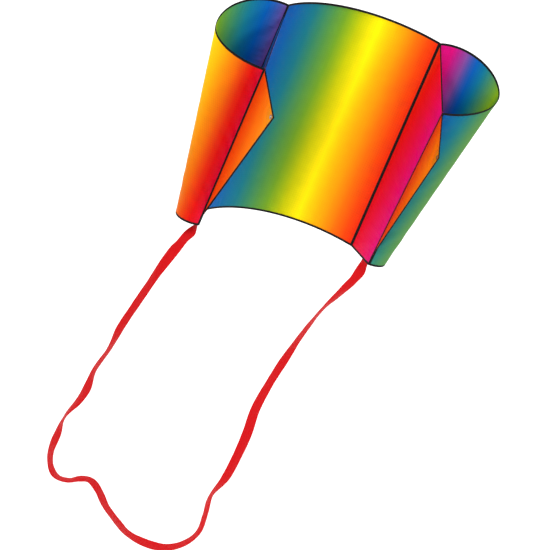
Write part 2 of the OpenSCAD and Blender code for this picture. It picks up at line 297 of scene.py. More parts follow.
def stitches(piece, points, normals):
    """Adds a row of thread stitches that lie on a line of points."""
    s = along(points)
    length = s[-1]
    count = max(1, int(length / PITCH))
    around = np.linspace(0, 2 * math.pi, 6, endpoint=False)
    step, flatness = 0.2 * MM, 0.8

    def at(place, values):
        return np.array([np.interp(place, s, values[:, c]) for c in range(3)])

    for k in range(count):
        middle = (k + 0.5) * length / count
        rings = []
        for place, height, width in STITCH:
            here = middle + place * PITCH
            up = unit(at(here, normals))
            across = unit(np.cross(up, at(here + step, points) - at(here - step, points)))
            centre = at(here, points) + up * height * THREAD / 2
            rings.append([
                centre + THREAD / 2 * width * (math.cos(a) * across + flatness * math.sin(a) * up)
                for a in around
            ])
        rings = np.array(rings)
        sweep(piece, rings[:, ::-1], np.zeros(rings.shape), THREAD_SLOT)


def edge_tape(piece, rim, inward, normals, width):
    """Adds a tape folded over the edge of a cloth, stitched through both its halves. The rim's
    inward directions may be longer than 1 where the tape turns a corner."""
    rim, inward, normals = resample([rim, inward, normals], 3 * MM)
    h, t = TAPE_HALF, TAPE_SKIN
    fold = [math.pi / 2 + a for a in np.linspace(0, math.pi, 7)]
    worn, rounded, swell = 0.1 * MM, 0.4 * MM, 1.05
    section = np.array(
        [(width, h - worn), (width - rounded, h), (width / 2, swell * h)]
        + [(h * math.cos(a), h * math.sin(a)) for a in fold]
        + [(width / 2, -swell * h), (width - rounded, -h), (width, -h + worn)]
        + [(width, -h + t), (0, -h + t), (0, h - t), (width, h - t)]
    )
    rings = (
        rim[:, None] + section[None, :, :1] * inward[:, None]
        + section[None, :, 1:] * normals[:, None]
    )
    s = along(rim)
    across = np.concatenate([[0], np.cumsum(np.linalg.norm(np.diff(section, axis=0), axis=1))])
    cloth = np.stack(np.broadcast_arrays(across[None], s[:, None], 0.0 * s[:, None]), axis=-1)
    sweep(piece, rings, cloth, TAPE_SLOT)
    inset, above = 1.3 * MM, 1.03 * h
    for face in (1, -1):
        line = rim + inward * (width - inset) + face * normals * above
        stitches(piece, line, face * normals)


def piping(piece, top, bottom, radius):
    """Adds a cord in its cover along a seam, with round ends."""
    down = unit(bottom - top)
    length = float(np.linalg.norm(bottom - top))
    side = unit(np.cross(down, (0, 1, 0)))
    front = np.cross(down, side)
    angles = np.linspace(0, 2 * math.pi, 20, endpoint=False)
    blunt, cord_rib, step = 0.15, 0.025, 2 * MM
    ends = [(radius * (1 - math.cos(a)), math.sin(a)) for a in np.linspace(blunt, math.pi / 2, 5)]
    straight = [
        (s, 1.0) for s in np.linspace(2 * radius, length - 2 * radius, int(length / step))
    ]
    stations = ends + straight + [(length - s, r) for s, r in reversed(ends)]
    rings, cloth = [], []
    for s, share in stations:
        r = radius * share * (1 + cord_rib * math.sin(2 * math.pi * s / PITCH))
        rings.append([
            top + s * down + r * (math.cos(a) * side + math.sin(a) * front) for a in angles
        ])
        cloth.append([(radius * a, s, 0) for a in angles])
    sweep(piece, np.array(rings), np.array(cloth), TAPE_SLOT)


# ---------------------------------------------------------------- relief of the cloth

# Wavelengths of the gathers beside a seam, of their drift and of the finer ones among them, and
# of the long folds and how they come and go. Then how fast each dies away from a seam, how far
# from an edge the relief starts, and the length over which it rises.
GATHER, GATHER_DRIFT, GATHER_FINE = 14 * MM, 67 * MM, 8.3 * MM
FOLD, FOLD_DRIFT = 52 * MM, 190 * MM
GATHER_REACH, FOLD_REACH = 13 * MM, 38 * MM
CALM_START, CALM_RISE = 4 * MM, 7 * MM


def wave(s, length, shift=0.0):
    """A sine wave along s, of the given wavelength."""
    return np.sin(2 * math.pi * s / length + shift)


def puckers(s, away, height, shift):
    """The small gathers that a line of stitching pulls into the cloth beside it."""
    gathers = wave(s, GATHER, 1.9 * wave(s, GATHER_DRIFT, shift))
    fine = wave(s, GATHER_FINE, 3 * shift)
    return height * (gathers + 0.4 * fine) * np.exp(-away / GATHER_REACH)


def calm(*distances):
    """0 under the tape along each edge, and 1 well inside all of them."""
    made = 1.0
    for away in distances:
        made = made * smoothstep((away - CALM_START) / CALM_RISE)
    return made


def folds(s, away, height, slant, shift):
    """Long soft folds that run into the cloth at a slant from a seam that carries load."""
    slow = 0.6 + 0.4 * wave(s, FOLD_DRIFT, 2 * shift)
    return height * wave(s - slant * away, FOLD, shift) * slow * np.exp(-away / FOLD_REACH)


def gathers_round(across, down, width, heights, shifts):
    """Gathers along a panel's four edges: its two sides, then its upper and lower ends. The
    heights are in millimetres."""
    edges = (down, across), (down, width - across), (across, down), (across, CHORD - down)
    return sum(
        puckers(s, away, height * MM, shift)
        for (s, away), height, shift in zip(edges, heights, shifts)
    )


# ---------------------------------------------------------------- materials

def srgb(red, green, blue):
    """A colour given in the usual 0 to 255, as linear light with alpha 1."""
    values = [c / 255 for c in (red, green, blue)]
    return [c / 12.92 if c <= 0.04045 else ((c + 0.055) / 1.055) ** 2.4 for c in values] + [1.0]


def node(tree, kind, values=None, **settings):
    """A new node. values gives its inputs, as numbers or as the sockets that feed them."""
    made = tree.nodes.new(kind)
    for name, value in settings.items():
        setattr(made, name, value)
    for key, value in (values or {}).items():
        if isinstance(value, bpy.types.NodeSocket):
            tree.links.new(value, made.inputs[key])
        else:
            made.inputs[key].default_value = value
    return made


def maths(tree, operation, a, b=0.0, c=0.0):
    return node(tree, "ShaderNodeMath", {0: a, 1: b, 2: c}, operation=operation).outputs[0]


def waves(tree, at, pitch):
    return maths(tree, "SINE", maths(tree, "MULTIPLY", at, 2 * math.pi / pitch))


def ridge(tree, at, pitch, width):
    """1 on evenly spaced lines of the given width, falling smoothly to 0 beside them."""
    step = maths(tree, "FRACT", maths(tree, "DIVIDE", at, pitch))
    away = maths(tree, "ABSOLUTE", maths(tree, "SUBTRACT", step, 0.5))
    spread = node(
        tree, "ShaderNodeMapRange", {0: away, 1: 0.5 * width / pitch, 2: 0.0, 3: 0.0, 4: 1.0},
        interpolation_type="SMOOTHSTEP",
    )
    return spread.outputs[0]


def new_material(name):
    material = bpy.data.materials.new(name)
    material.use_nodes = True
    material.node_tree.nodes.clear()
    return material, material.node_tree


def cloth_place(tree):
    """Sockets for the place on the cloth: across, along, print, and all three as a vector."""
    vector = node(tree, "ShaderNodeAttribute", attribute_name="cloth").outputs["Vector"]
    split = node(tree, "ShaderNodeSeparateXYZ", {0: vector})
    return split.outputs[0], split.outputs[1], split.outputs[2], vector


def clouds(tree, vector, scale, detail=3.0):
    """Soft noise over the cloth, the same wherever it lies in the print."""
    placed = node(tree, "ShaderNodeMapping", {0: vector, 3: (1, 1, 0)})
    made = node(
        tree, "ShaderNodeTexNoise", {"Vector": placed.outputs[0], "Scale": scale, "Detail": detail}
    )
    return made.outputs[0]


def bumped(tree, height, distance):
    return node(
        tree, "ShaderNodeBump", {"Height": height, "Strength": 1.0, "Distance": distance}
    ).outputs[0]


def output(tree, shader):
    node(tree, "ShaderNodeOutputMaterial", {0: shader})


def blended(print_stops, parts=3):
    """The print's colours with more between each two, so that they run into each other as
    they would in print and not as light does."""
    places, colours = zip(*print_stops)
    steps = np.linspace(0, len(places) - 1, parts * (len(places) - 1) + 1)
    fine = np.interp(steps, range(len(places)), places)
    return [(x, [np.interp(x, places, channel) for channel in zip(*colours)]) for x in fine]


def ripstop(name, print_stops, glow=0.38):
    """Thin coated ripstop cloth with a colour print. print_stops are (place, colour), and glow
    is the share of the light that comes through the cloth."""
    material, tree = new_material(name)
    across, down, printed, vector = cloth_place(tree)
    ramp = node(tree, "ShaderNodeValToRGB", {0: printed})
    stops = ramp.color_ramp.elements
    inks = blended(print_stops)
    while len(stops) < len(inks):
        stops.new(0.5)
    for stop, (place, colour) in zip(stops, inks):
        stop.position = place
        stop.color = srgb(*colour)
    pitch, width = 5 * MM, 0.7 * MM
    threads = maths(
        tree, "MAXIMUM", ridge(tree, across, pitch, width), ridge(tree, down, pitch, width)
    )
    mottle = clouds(tree, vector, 45.0)
    tone = maths(tree, "MULTIPLY_ADD", mottle, 0.10, 0.95)
    shade = maths(tree, "MULTIPLY_ADD", threads, -0.15, tone)
    colour = node(
        tree, "ShaderNodeHueSaturation", {"Value": shade, "Color": ramp.outputs[0]}
    ).outputs[0]
    yarn = 0.45 * MM
    weave = maths(tree, "MULTIPLY", waves(tree, across, yarn), waves(tree, down, yarn))
    crinkle = clouds(tree, vector, 60.0, 4.0)
    height = maths(tree, "MULTIPLY_ADD", threads, 0.5, maths(tree, "MULTIPLY", weave, 0.12))
    height = maths(tree, "MULTIPLY_ADD", crinkle, 3.5, height)
    rough = maths(tree, "MULTIPLY_ADD", mottle, 0.16, 0.36)
    skin = node(tree, "ShaderNodeBsdfPrincipled", {
        "Base Color": colour,
        "Roughness": maths(tree, "MULTIPLY_ADD", threads, 0.08, rough),
        "Specular IOR Level": 0.08,
        "Sheen Weight": 0.02,
        "Sheen Roughness": 0.4,
        "Normal": bumped(tree, height, 0.12 * MM),
    })
    through = node(tree, "ShaderNodeBsdfTranslucent", {"Color": colour})
    mixed = node(
        tree, "ShaderNodeMixShader", {0: glow, 1: skin.outputs[0], 2: through.outputs[0]}
    )
    output(tree, mixed.outputs[0])
    return material


def ribbed(name, colour, rib=0.8 * MM, rough=0.62, tone=0.12, sheen=0.02):
    """Woven tape or ribbon in one colour, with fine ribs across it."""
    material, tree = new_material(name)
    across, down, _, vector = cloth_place(tree)
    ribs, crossing = waves(tree, down, rib), waves(tree, across, 0.5 * MM)
    mottle = clouds(tree, vector, 90.0)
    shade = maths(tree, "MULTIPLY_ADD", mottle, tone, 1 - tone / 2)
    shade = maths(tree, "MULTIPLY_ADD", ribs, tone / 3, shade)
    plain = node(
        tree, "ShaderNodeHueSaturation", {"Value": shade, "Color": srgb(*colour)}
    ).outputs[0]
    height = maths(tree, "MULTIPLY_ADD", crossing, 0.35, ribs)
    shader = node(tree, "ShaderNodeBsdfPrincipled", {
        "Base Color": plain,
        "Roughness": maths(tree, "MULTIPLY_ADD", mottle, 0.2, rough - 0.1),
        "Specular IOR Level": 0.1,
        "Sheen Weight": sheen,
        "Sheen Roughness": 0.5,
        "Normal": bumped(tree, height, 0.05 * MM),
    })
    output(tree, shader.outputs[0])
    return material


def eyelet_metal():
    """Nickel-plated brass, brushed by the press and slightly worn."""
    material, tree = new_material("eyelet_metal")
    place = node(tree, "ShaderNodeTexCoord").outputs["Object"]
    grain, wear = (
        node(
            tree, "ShaderNodeTexNoise", {"Vector": place, "Scale": scale, "Detail": detail}
        ).outputs[0]
        for scale, detail in ((900.0, 4.0), (160.0, 3.0))
    )
    shade = maths(tree, "MULTIPLY_ADD", wear, 0.3, 0.85)
    tint = node(
        tree, "ShaderNodeHueSaturation", {"Value": shade, "Color": srgb(148, 145, 138)}
    ).outputs[0]
    shader = node(tree, "ShaderNodeBsdfPrincipled", {
        "Base Color": tint,
        "Metallic": 1.0,
        "Roughness": maths(tree, "MULTIPLY_ADD", wear, 0.25, 0.18),
        "Normal": bumped(tree, grain, 0.02 * MM),
    })
    output(tree, shader.outputs[0])
    return material


# Each print is a few colours, at places from 0 to 1, that run into each other. The sail's runs
# from its left main seam (0) to its right one (1).
SAIL_PRINT = [
    (0.00, (10, 92, 182)), (0.10, (2, 106, 178)), (0.25, (26, 131, 145)), (0.45, (123, 174, 44)),
    (0.55, (204, 207, 3)), (0.65, (255, 238, 3)), (0.80, (248, 168, 3)), (1.00, (236, 38, 8)),
]
# A tube's runs from its main seam (0) past its nose at the mouth (0.5) to its keel seam (1)
LEFT_TUBE_PRINT = [
    (0.00, (130, 92, 172)), (0.12, (0, 102, 186)), (0.24, (24, 132, 154)), (0.45, (118, 172, 52)),
    (0.48, (140, 180, 36)), (0.51, (252, 235, 16)), (0.63, (252, 193, 3)), (0.78, (239, 114, 2)),
    (0.91, (225, 12, 12)), (1.00, (224, 8, 66)),
]
RIGHT_TUBE_PRINT = [
    (0.00, (222, 0, 136)), (0.10, (216, 8, 132)), (0.20, (142, 82, 166)), (0.275, (4, 102, 188)),
    (0.335, (12, 126, 164)), (0.40, (75, 148, 112)), (0.485, (142, 182, 30)),
    (0.51, (112, 163, 58)), (0.65, (85, 150, 90)), (0.80, (22, 128, 150)), (1.00, (2, 96, 186)),
]
# A wall's runs from its keel seam (0) to its main seam (1)
RIGHT_WALL_PRINT = [
    (0.00, (217, 2, 116)), (0.40, (224, 1, 58)), (0.77, (228, 10, 10)), (1.00, (226, 58, 15)),
]
LEFT_WALL_PRINT = [
    (0.00, (178, 60, 152)), (0.25, (132, 84, 168)), (0.75, (26, 98, 182)), (1.00, (2, 104, 184)),
]
# A keel's runs from its seam (0) to its tip (1)
KEEL_PRINT = [(0.00, (232, 66, 3)), (0.40, (240, 117, 3)), (1.00, (248, 172, 12))]

# Less light comes through a wall, which has the tube's skin behind it
WALL_GLOW = 0.16

tape = ribbed("binding_tape", (9, 9, 10), rib=0.9 * MM, tone=0.5)
thread = ribbed("thread", (30, 30, 32), rib=0.4 * MM, tone=0.3)
orange_thread = ribbed("orange_thread", (214, 92, 10), rib=0.4 * MM, tone=0.3)
ribbon_red = ribbed("ribbon", (180, 0, 6), rib=0.7 * MM, rough=0.5, tone=0.10, sheen=0.0)
metal = eyelet_metal()
sail_cloth = ripstop("sail_cloth", SAIL_PRINT)
tube_cloth = {
    "left": ripstop("left_tube_cloth", LEFT_TUBE_PRINT),
    "right": ripstop("right_tube_cloth", RIGHT_TUBE_PRINT),
}
wall_cloth = {
    "left": ripstop("left_wall_cloth", LEFT_WALL_PRINT, WALL_GLOW),
    "right": ripstop("right_wall_cloth", RIGHT_WALL_PRINT, WALL_GLOW),
}
keel_cloth = ripstop("keel_cloth", KEEL_PRINT)
patch_cloth = ripstop("keel_patch", KEEL_PRINT)


# ---------------------------------------------------------------- the camera and the light

def place_camera():
    """A long lens that looks at the kite from its left and a little above, and is rolled, as
    the picture's is. The kite itself stays upright in the model's frame."""
    azimuth, elevation, roll = (math.radians(a) for a in (23.545, 25, 23.39))
    distance, aim_left, aim_down = 9.174, 0.0042, 0.0958
    ahead = Vector((
        math.sin(azimuth) * math.cos(elevation), math.cos(azimuth) * math.cos(elevation),
        -math.sin(elevation),
    ))
    level = ahead.cross(Vector((0, 0, 1))).normalized()
    upright = level.cross(ahead)
    right = level * math.cos(roll) + upright * math.sin(roll)
    up = upright * math.cos(roll) - level * math.sin(roll)
    aim = Vector((0, SEAM_Y, TRAILING)) - aim_left * right - aim_down * up
    camera = bpy.data.objects.new("camera", bpy.data.cameras.new("camera"))
    camera.data.lens = 288
    camera.data.sensor_width = 36
    camera.data.clip_end = 100
    camera.matrix_world = Matrix.Translation(aim - distance * ahead) @ Matrix(
        (right, up, -ahead)
    ).transposed().to_4x4()
    bpy.context.scene.collection.objects.link(camera)
    bpy.context.scene.camera = camera


def sun(name, towards, strength, softness):
    """Even light from far off, from the side that towards points to."""
    light = bpy.data.objects.new(name, bpy.data.lights.new(name, "SUN"))
    light.data.energy = strength
    light.data.angle = math.radians(softness)
    light.rotation_euler = Vector(towards).to_track_quat("Z", "Y").to_euler()
    bpy.context.scene.collection.objects.link(light)


def studio():
    """A pale floor well below the kite, even light all round, and soft lamps for shape."""
    world = bpy.data.worlds.new("studio")
    world.use_nodes = True
    world.node_tree.nodes["Background"].inputs[0].default_value = (1, 1, 1, 1)
    world.node_tree.nodes["Background"].inputs[1].default_value = 0.92
    bpy.context.scene.world = world
    sun("left_lamp", (-0.85, -0.6, 0.45), 0.72, 30)
    sun("right_lamp", (0.75, -0.65, 0.5), 0.95, 20)
    sun("top_lamp", (-0.1, -0.35, 0.93), 1.35, 25)
    sun("back_lamp", (0.1, 0.9, 0.35), 0.7, 25)
    drop, reach = 1.1, 40
    floor_mesh = bpy.data.meshes.new("floor")
    corners = [(-reach, -reach), (reach, -reach), (reach, reach), (-reach, reach)]
    floor_mesh.from_pydata([(x, y, cad_low.z - drop) for x, y in corners], [], [(0, 1, 2, 3)])
    material, tree = new_material("floor")
    paint = node(tree, "ShaderNodeBsdfPrincipled", {
        "Base Color": (0.93, 0.93, 0.93, 1), "Roughness": 0.9, "Specular IOR Level": 0.1,
    })
    output(tree, paint.outputs[0])
    floor_mesh.materials.append(material)
    floor = bpy.data.objects.new("floor", floor_mesh)
    bpy.context.scene.collection.objects.link(floor)
    bpy.context.scene.view_settings.view_transform = "Standard"


# ---------------------------------------------------------------- the tail

def spline(points, per_point):
    """Points on the smooth curve through others, as a Catmull-Rom spline."""
    p = np.array(points, float)
    p = np.vstack([p[:1], p, p[-1:]])
    made = []
    for i in range(1, len(p) - 2):
        a, b, c, d = p[i - 1:i + 3]
        for t in np.arange(per_point) / per_point:
            made.append(0.5 * (
                2 * b + (c - a) * t + (2 * a - 5 * b + 4 * c - d) * t * t
                + (3 * b - a - 3 * c + d) * t ** 3
            ))
    return np.array(made + [p[-2]])


def ribbon(piece, centres, wide, shares, lift=0.0):
    """Adds a ribbon along its centres. wide is the way across it, and shares are places there."""
    grid = centres[:, None] + RIBBON_WIDTH * shares[None, :, None] * wide[:, None] + lift
    across, down = RIBBON_WIDTH * shares[None], along(centres)[:, None]
    cloth = np.stack(np.broadcast_arrays(across, down, 0.0), axis=-1)
    grid_sheet(piece, grid, cloth, 0.0, RIBBON_THICK)


def tail_ribbon():
    """One long ribbon, twisted as it hangs. It starts and ends flat against its two tabs."""
    route = spline(TAIL_ROUTE, 12)
    centres, turn = route[:, :3] * MM, np.radians(route[:, 3])[:, None]
    ahead = unit(np.gradient(centres, axis=0))
    across = unit(np.cross((0.0, 1.0, 0.0), ahead))
    deep = np.cross(ahead, across)
    wide = np.cos(turn) * across + np.sin(turn) * deep
    s = along(centres)
    length = s[-1]
    for hung, distance in ((-1.0, s), (1.0, length - s)):
        share = smoothstep(distance / RIBBON_END_FLAT)[:, None]
        wide = unit((1 - share) * np.array([hung, 0, 0]) + share * wide)
    normal = unit(np.cross(ahead, wide))
    shares = np.linspace(-0.5, 0.5, 11)
    ripple = 0.15 * MM * wave(s, 37 * MM) + 0.35 * MM * wave(s, 97 * MM, 1.0)
    cup = 1.2 * MM * wave(s, 410 * MM, 0.6)
    lift = (
        cup[:, None] * (shares[None] ** 2 * 4 - 0.33)
        + ripple[:, None] * np.sign(shares)[None] * (2 * abs(shares[None])) ** 3
    )
    flat_end = 40 * MM
    lift = lift * (smoothstep(s / flat_end) * smoothstep((length - s) / flat_end))[:, None]
    piece = Piece()
    ribbon(piece, centres, wide, shares, lift[..., None] * normal[:, None])
    made = piece.make("red_tail_ribbon", ribbon_red)
    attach(made, "tail")
    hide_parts("tail_ribbon")


# ---------------------------------------------------------------- the sail

def sail_point(share, z):
    """A point on the sail: share runs across the arch from the left main seam to the right."""
    angle = ARCH_HALF * (2 * share - 1)
    return np.stack([
        ARCH_R * np.sin(angle),
        SEAM_Y + ARCH_R * (np.cos(angle) - math.cos(ARCH_HALF)),
        z + 0 * share,
    ], axis=-1)


def sail():
    share, z = np.meshgrid(
        np.linspace(0, 1, 130), np.linspace(LEADING - TUCK, TRAILING + TUCK, 170), indexing="ij"
    )
    grid = sail_point(share, z)
    across, down = share * SAIL_WIDTH, LEADING - z
    from_right = SAIL_WIDTH - across
    relief = (
        gathers_round(across, down, SAIL_WIDTH, (0.8, 0.8, 0.7, 0.7), (0.4, 2.1, 1.0, 3.0))
        + folds(down, across, 2.2 * MM, 0.9, 0.5) + folds(down, from_right, 2.2 * MM, 0.9, 1.7)
        + 1.8 * MM * np.sin(math.pi * share) * wave(down, 310 * MM, 3 * share)
    ) * calm(across, from_right, down, CHORD - down)
    piece = Piece()
    grid_sheet(piece, grid, np.stack([across, down, share], axis=-1), relief)
    made = piece.make("sail_cloth", sail_cloth)
    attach(made, "root")
    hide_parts("sail")
    sail_tape("leading_edge", LEADING, -1)
    sail_tape("trailing_edge", TRAILING, 1)


def sail_tape(name, z_edge, into):
    """The tape folded over one end of the sail. into is 1 where the cloth lies above its edge,
    and -1 where it lies below."""
    end_gap = 0.006
    rim = sail_point(np.linspace(end_gap, 1 - end_gap, 150), z_edge + into * TAPE_HALF)
    arch_centre = np.array([0, SEAM_Y - ARCH_R * math.cos(ARCH_HALF), 0])
    normals = into * unit((rim - arch_centre) * (1, 1, 0))
    inward = np.tile([0.0, 0.0, into], (len(rim), 1))
    piece = Piece()
    edge_tape(piece, rim, inward, normals, TAPE_WIDTH - TAPE_HALF)
    made = piece.make(name + "_tape", tape, thread)
    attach(made, "root")
    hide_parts(name + "_binding")
    return made


def main_seam(name, side):
    """The piping on the sail's side edge, and its flange stitched over the cloth."""
    piece = Piece(side)
    piping(piece, MAIN_TOP, MAIN_BOTTOM, MAIN_R)
    edge = sail_point(np.array([1 - (MAIN_R - UNDER_PIPING) / SAIL_WIDTH]), np.array([0.0]))[0]
    tangent = -np.array([math.cos(ARCH_HALF), -math.sin(ARCH_HALF), 0])
    normal = np.array([math.sin(ARCH_HALF), math.cos(ARCH_HALF), 0])
    end_gap = 1.5 * MM
    z = np.linspace(LEADING - end_gap, TRAILING + end_gap, 120)[:, None]
    rim = edge * (1, 1, 0) + z * (0, 0, 1)
    edge_tape(
        piece, rim, np.tile(tangent, (len(rim), 1)), np.tile(-normal, (len(rim), 1)),
        FLANGE_WIDTH,
    )
    made = piece.make(name + "_main_seam_piping", tape, thread)
    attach(made, "root")
    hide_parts(name + "_main_seam")


# ---------------------------------------------------------------- the tubes

def bezier(p, t):
    t = t[..., None]
    r = 1 - t
    return r ** 3 * p[0] + 3 * t * r ** 2 * p[1] + 3 * t * t * r * p[2] + t ** 3 * p[3]


def outline_at(outline, u):
    """A point on a tube's outline, from the main seam (0) past the nose to the keel seam (1)."""
    first = bezier(outline[:4], np.clip(2 * u, 0, 1))
    second = bezier(outline[3:], np.clip(2 * u - 1, 0, 1))
    return np.where((u < 0.5)[..., None], first, second)


def skin_point(u, v):
    """A point on the tube's skin: v = 0 at the raked mouth, v = 1 at the trailing end."""
    mouth, end = outline_at(MOUTH_OUTLINE, u), outline_at(END_OUTLINE, u)
    seam = np.array([SEAM_X, SEAM_Y])
    a = np.concatenate([seam + mouth, LEADING + RAKE * mouth[..., 1:]], axis=-1)
    b = np.concatenate([seam + end, TRAILING + 0 * end[..., 1:]], axis=-1)
    return a + v[..., None] * (b - a)


def spread_by_length(outline, count):
    """Places along a tube's outline that are evenly spaced by length."""
    u = np.linspace(0, 1, 2001)
    s = along(outline_at(outline, u))
    return np.interp(np.linspace(0, s[-1], count), s, u)


# Lengths of the mouth's outline in front of its nose and behind it
NOSE_FRONT = float(along(outline_at(MOUTH_OUTLINE, np.linspace(0.5, 1, 1001)))[-1])
NOSE_BACK = float(along(outline_at(MOUTH_OUTLINE, np.linspace(0, 0.5, 1001)))[-1])


def tube_print(name, u, v):
    """Where the skin lies in its print. In front of the nose the print's bands run parallel to
    the keel seam on the left tube and to the nose on the right one. Behind it they start
    parallel to the main seam and fan out to meet the front."""
    fine = np.linspace(0, 1, 801)
    place = np.zeros(u.shape)
    distance = np.zeros(u.shape)
    for j in range(u.shape[1]):
        line = skin_point(fine, np.full(fine.shape, v[0, j]))
        s = along(line[:, :2])
        d, nose, whole = np.interp(u[:, j], fine, s), float(np.interp(0.5, fine, s)), s[-1]
        at_nose = 1 - 0.5 * (whole - nose) / NOSE_FRONT if name == "left" else 0.5
        front = at_nose + 0.5 * (d - nose) / NOSE_FRONT
        seam_rate = 0.5 / NOSE_BACK
        back = seam_rate * d + (at_nose - seam_rate * nose) * (d / nose) ** 3
        place[:, j] = np.where(d < nose, back, front)
        distance[:, j] = d
    return place, distance


def tube_skin(name, side):
    u, v = np.meshgrid(
        spread_by_length(MOUTH_OUTLINE, 150), np.linspace(TUCK / CHORD, 1 - TUCK / CHORD, 160),
        indexing="ij",
    )
    grid = skin_point(u, v)
    place, across = tube_print(name, u, v)
    down = v * CHORD
    whole = across[-1:]
    relief = (
        gathers_round(across, down, whole, (0.8, 0.8, 0.8, 0.6), (0.3 * side, 1.6, 2.2, 0.9))
        + folds(down, across, 1.9 * MM, 0.8, 1.1 + side)
        + folds(down, whole - across, 2.0 * MM, -0.9, 0.2)
    ) * calm(across, whole - across, down, CHORD - down)
    piece = Piece(side)
    grid_sheet(piece, grid, np.stack([across, LEADING - grid[..., 2], place], axis=-1), relief)
    made = piece.make(name + "_tube_cloth", tube_cloth[name])
    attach(made, name + "_tube")
    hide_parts(name + "_tube_skin")


def wall_point(share, v):
    """A point on the inner wall: share runs from the main seam (0) to the keel seam (1)."""
    share, v = share[..., None], v[..., None]
    main = MAIN_TOP + v * (MAIN_BOTTOM - MAIN_TOP)
    keel = KEEL_TOP + v * (KEEL_BOTTOM - KEEL_TOP)
    return main + share * (keel - main)


def inner_wall(name, side):
    share, v = np.meshgrid(
        np.linspace(0, 1, 46), np.linspace(TUCK / CHORD, 1 - TUCK / CHORD, 170), indexing="ij"
    )
    grid = wall_point(share, v)
    width = WALL_MOUTH + v * (WALL_END - WALL_MOUTH)
    across, down = share * width, v * CHORD
    from_keel = width - across
    print_spread = 0.23
    place = from_keel * (1 - print_spread * v) / WALL_MOUTH
    relief = (
        gathers_round(across, down, width, (0.7, 0.7, 0.5, 0.5), (2.6, 0.7, 1.4, 0.1))
        + folds(down, from_keel, 1.4 * MM, 0.9, 2.4)
        - 1.6 * MM * np.sin(math.pi * share)
    ) * calm(across, from_keel, down, CHORD - down)
    piece = Piece(side)
    grid_sheet(piece, grid, np.stack([across, LEADING - grid[..., 2], place], axis=-1), relief)
    made = piece.make(name + "_wall_cloth", wall_cloth[name])
    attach(made, name + "_tube")
    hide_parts(name + "_inner_wall")


def tube_edge(name, side, v, node_name, tape_name):
    """The tape round a tube's mouth (v = 0) or its trailing end (v = 1): over the skin's edge,
    and over the wall's."""
    into = 1 if v == 0 else -1
    piece = Piece(side)
    u = spread_by_length(MOUTH_OUTLINE if v == 0 else END_OUTLINE, 160)[1:-1]
    share = np.linspace(0.02, 0.98, 40)
    step = 0.01
    for point, places, order in ((skin_point, u, 1), (wall_point, share, -1)):
        rim = point(places, np.full(places.shape, float(v)))
        inner = point(places, np.full(places.shape, v + into * step))
        inward = unit(inner - rim)
        tangent = unit(np.gradient(rim, axis=0))
        normals = unit(np.cross(tangent, inward)) * order
        edge_tape(
            piece, (rim + TAPE_HALF * inward)[::order], inward[::order], normals[::order],
            TAPE_WIDTH - TAPE_HALF,
        )
    made = piece.make(name + tape_name, tape, thread)
    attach(made, name + "_tube")
    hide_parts(name + node_name)


def keel_seam(name, side):
    """The piping where the skin, the wall and the keel meet, with its flange over the skin's
    edge and its rows of stitches on the wall."""
    piece = Piece(side)
    piping(piece, KEEL_TOP, KEEL_BOTTOM, KEEL_R)
    v = np.linspace(0.004, 0.996, 100)
    seam = KEEL_TOP + v[:, None] * (KEEL_BOTTOM - KEEL_TOP)
    into_skin = unit(skin_point(np.full(v.shape, 0.99), v) - seam)
    normals = unit(np.cross(into_skin, KEEL_DOWN))
    edge_tape(
        piece, seam + (KEEL_R - UNDER_PIPING) * into_skin, into_skin, normals, KEEL_FLANGE_WIDTH
    )
    inset = 3.2 * MM
    line = wall_point(1 - inset / (WALL_MOUTH + v * (WALL_END - WALL_MOUTH)), v)
    for face in (1, -1):
        facing = np.tile(face * WALL_NORMAL, (len(v), 1))
        stitches(piece, line + CLOTH / 2 * facing, facing)
    made = piece.make(name + "_keel_seam_piping", tape, thread)
    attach(made, name + "_tube")
    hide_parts(name + "_keel_seam")


# ---------------------------------------------------------------- the keels

def keel_point(flat, height=0.0):
    """Points of the keel's plane in the frame: flat is (down the seam, out from it)."""
    flat = np.asarray(flat, float)
    return (
        KEEL_TOP + flat[..., :1] * KEEL_DOWN + flat[..., 1:] * KEEL_OUT
        + np.asarray(height)[..., None] * KEEL_NORMAL
    )


def keel_bulge(flat):
    """The keel's soft belly between its seam and its tip, with gathers along its edges."""
    down, out = flat[:, 0], flat[:, 1]
    upper, lower = edge_distance(flat)
    edge_rise, seam_rise, ray_reach, ray_count = 25 * MM, 20 * MM, 70 * MM, 9
    belly = smoothstep(np.minimum(upper, lower) / edge_rise) * smoothstep(out / seam_rise)
    from_eyelet = np.hypot(down - EYELET_DOWN, out - EYELET_OUT)
    rays = np.sin(ray_count * np.arctan2(EYELET_OUT - out, down - EYELET_DOWN))
    return (
        1.5 * MM * belly + 0.7 * MM * rays * belly * np.exp(-from_eyelet / ray_reach)
        + puckers(down, out, 0.6 * MM, shift=0.8) + puckers(down, lower, 0.5 * MM, shift=1.9)
    ) * calm(out, upper, lower, from_eyelet - PATCH_R)


def edge_distance(flat):
    """How far points of the keel lie inside its upper and its lower free edge."""
    return flat @ KEEL_INWARD[0], (flat - KEEL_TIP) @ KEEL_INWARD[1]


